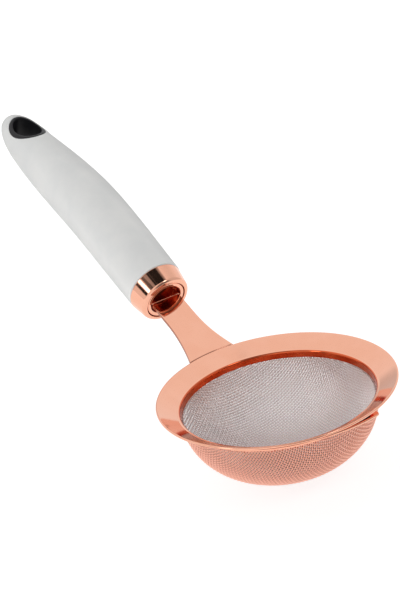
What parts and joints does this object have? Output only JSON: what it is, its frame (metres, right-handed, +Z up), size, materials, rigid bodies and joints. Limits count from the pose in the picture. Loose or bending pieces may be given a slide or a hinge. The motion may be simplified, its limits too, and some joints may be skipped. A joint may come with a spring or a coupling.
{
  "type": "handled mesh strainer",
  "caption": "Handled fine-mesh bar and tea strainer: woven bowl in a wide dished ring, flat neck, metal ferrule and round soft-grip handle with an oval hang hole.",
  "frame": {"origin": "centre of the ring's top edge, on the bowl's axis", "axes": "+Z up along the bowl's axis, +Y towards the handle, which rises 28.6 degrees above the ring's plane, +X to the side"},
  "size_m": [0.09, 0.2508, 0.1185],
  "materials": {
    "rose_metal": "polished rose-gold plating on stainless steel",
    "rose_mesh": "woven wire, rose-gold plated",
    "steel_mesh": "woven stainless wire",
    "soft_grip": "matt soft-touch, pale grey-white",
    "black_liner": "matt charcoal",
    "core_plastic": "moulded, hidden",
    "pin_steel": "plain steel, hidden"
  },
  "bodies": {
    "root": {"rim_ring": "rose_metal", "clamp_band": "rose_metal", "mesh_inner": "steel_mesh", "mesh_outer": "rose_mesh", "rest_lip": "rose_metal", "neck_plate": "rose_metal", "ferrule_sleeve": "rose_metal", "ferrule_collar": "rose_metal", "handle_core": "core_plastic", "tang_pin": "pin_steel", "grip_shell": "soft_grip", "hang_hole_liner": "black_liner"}
  },
  "joints": []
}
